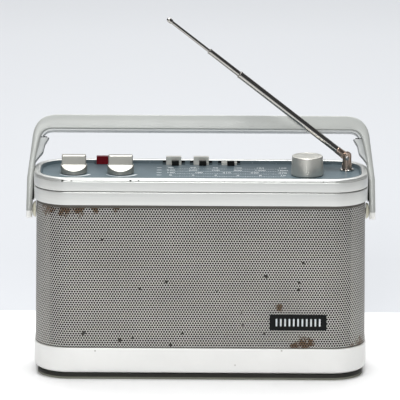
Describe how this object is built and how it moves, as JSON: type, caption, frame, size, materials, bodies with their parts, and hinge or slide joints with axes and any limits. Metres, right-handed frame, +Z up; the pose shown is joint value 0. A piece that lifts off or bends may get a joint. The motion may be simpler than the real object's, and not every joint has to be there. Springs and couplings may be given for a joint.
{
  "type": "portable radio",
  "caption": "Portable radio with a perforated front, a swinging carrying handle, turning knobs, push keys, a battery flap and a telescopic aerial.",
  "frame": {"origin": "on the table, under the middle of the cabinet", "axes": "+Z up, front grille facing -Y, +X to the right of someone facing the grille"},
  "size_m": [0.3, 0.082, 0.3069],
  "materials": {
    "silver_paint": "satin silver paint on moulded plastic",
    "pale_silver": "satin pale silver",
    "handle_silver": "satin silver-grey",
    "handle_liner": "satin grey",
    "grille_silver": "perforated sheet, silver paint",
    "panel_blue": "glossy blue-grey with white marks",
    "knob_silver": "satin silver plating",
    "red_plastic": "gloss dark red",
    "black_plastic": "satin black",
    "chrome": "polished chrome",
    "steel": "plain steel",
    "rubber": "matt",
    "paper_cone": "matt paper",
    "circuit": "green laminate",
    "ferrite": "matt",
    "capacitor": "clear-coated",
    "cell_jacket": "printed jacket"
  },
  "bodies": {
    "cabinet": {"base_tray": "pale_silver", "base_plinth": "rubber", "front_grille": "grille_silver", "back_cover": "pale_silver", "back_screw_1": "steel", "back_screw_2": "steel", "back_screw_3": "steel", "back_screw_4": "steel", "headphone_jack": "black_plastic", "speaker_baffle": "black_plastic", "lower_band": "silver_paint", "top_cover": "silver_paint", "control_panel": "panel_blue", "battery_tray": "black_plastic", "badge_plate": "black_plastic", "pivot_boss_left": "pale_silver", "pivot_boss_right": "pale_silver", "handle_screw_left": "steel", "handle_screw_right": "steel", "band_window_1": "black_plastic", "band_window_2": "black_plastic", "band_window_3": "black_plastic", "antenna_socket": "chrome", "speaker_frame": "steel", "speaker_cone": "paper_cone", "speaker_magnet": "steel", "circuit_board": "circuit", "volume_pot": "steel", "tone_pot": "steel", "tuning_capacitor": "capacitor", "band_switch": "black_plastic", "power_switch": "black_plastic", "ferrite_rod": "ferrite", "battery_cell_1": "cell_jacket", "battery_cell_2": "cell_jacket", "battery_cell_3": "cell_jacket", "battery_cell_4": "cell_jacket"},
    "handle": {"handle_shell": "handle_silver", "handle_grip_liner": "handle_liner", "handle_liner_left": "handle_liner", "handle_liner_right": "handle_liner"},
    "volume_control": {"volume_knob": "knob_silver", "volume_shaft": "steel"},
    "tone_control": {"tone_knob": "knob_silver", "tone_shaft": "steel"},
    "tuning_control": {"tuning_knob": "knob_silver", "tuning_shaft": "steel"},
    "power_key": {"power_button": "red_plastic"},
    "band_key_1": {"band_button_1": "knob_silver"},
    "band_key_2": {"band_button_2": "knob_silver"},
    "band_key_3": {"band_button_3": "knob_silver"},
    "battery_flap": {"battery_door": "pale_silver"},
    "aerial_swivel": {"antenna_swivel": "chrome", "antenna_pin": "steel"},
    "aerial_lower": {"antenna_tube_1": "chrome"},
    "aerial_middle": {"antenna_tube_2": "chrome"},
    "aerial_top": {"antenna_tip": "chrome"}
  },
  "joints": [
    {"name": "handle_swing", "type": "hinge", "parent": "cabinet", "child": "handle", "pos_m": [0, 0, 0.1409], "axis": [1, 0, 0], "range_deg": [-70, 0]},
    {"name": "volume_turn", "type": "hinge", "parent": "cabinet", "child": "volume_control", "pos_m": [-0.109, -0.004, 0.174], "axis": [0, 0, 1], "range_deg": [-140, 140]},
    {"name": "tone_turn", "type": "hinge", "parent": "cabinet", "child": "tone_control", "pos_m": [-0.069, -0.004, 0.174], "axis": [0, 0, 1], "range_deg": [-140, 140]},
    {"name": "tuning_turn", "type": "hinge", "parent": "cabinet", "child": "tuning_control", "pos_m": [0.091, -0.008, 0.174], "axis": [0, 0, 1], "range_deg": [-135, 135]},
    {"name": "power_press", "type": "slide", "parent": "cabinet", "child": "power_key", "axis": [0, 0, 1], "range_m": [-0.0035, 0], "stiffness_N_per_m": 100, "springref_m": 0.004},
    {"name": "band_press_1", "type": "slide", "parent": "cabinet", "child": "band_key_1", "axis": [0, 0, 1], "range_m": [-0.0046, 0], "stiffness_N_per_m": 100, "springref_m": 0.004},
    {"name": "band_press_2", "type": "slide", "parent": "cabinet", "child": "band_key_2", "axis": [0, 0, 1], "range_m": [-0.0046, 0], "stiffness_N_per_m": 100, "springref_m": 0.004},
    {"name": "band_press_3", "type": "slide", "parent": "cabinet", "child": "band_key_3", "axis": [0, 0, 1], "range_m": [0, 0.0046]},
    {"name": "battery_flap_turn", "type": "hinge", "parent": "cabinet", "child": "battery_flap", "pos_m": [0.047, 0.0394, 0.0312], "axis": [-1, 0, 0], "range_deg": [0, 100]},
    {"name": "aerial_turn", "type": "hinge", "parent": "cabinet", "child": "aerial_swivel", "pos_m": [0.1255, 0.011, 0.174], "axis": [0, 0, 1], "range_deg": [0, 145]},
    {"name": "aerial_lift", "type": "hinge", "parent": "aerial_swivel", "child": "aerial_lower", "pos_m": [0.1255, 0.011, 0.1852], "axis": [0, 1, 0], "range_deg": [-36, 52.1]},
    {"name": "aerial_middle_slide", "type": "slide", "parent": "aerial_lower", "child": "aerial_middle", "axis": [-0.7891, 0, 0.6143], "range_m": [-0.032, 0.064]},
    {"name": "aerial_top_slide", "type": "slide", "parent": "aerial_middle", "child": "aerial_top", "axis": [-0.7891, 0, 0.6143], "range_m": [-0.04, 0.05]}
  ]
}
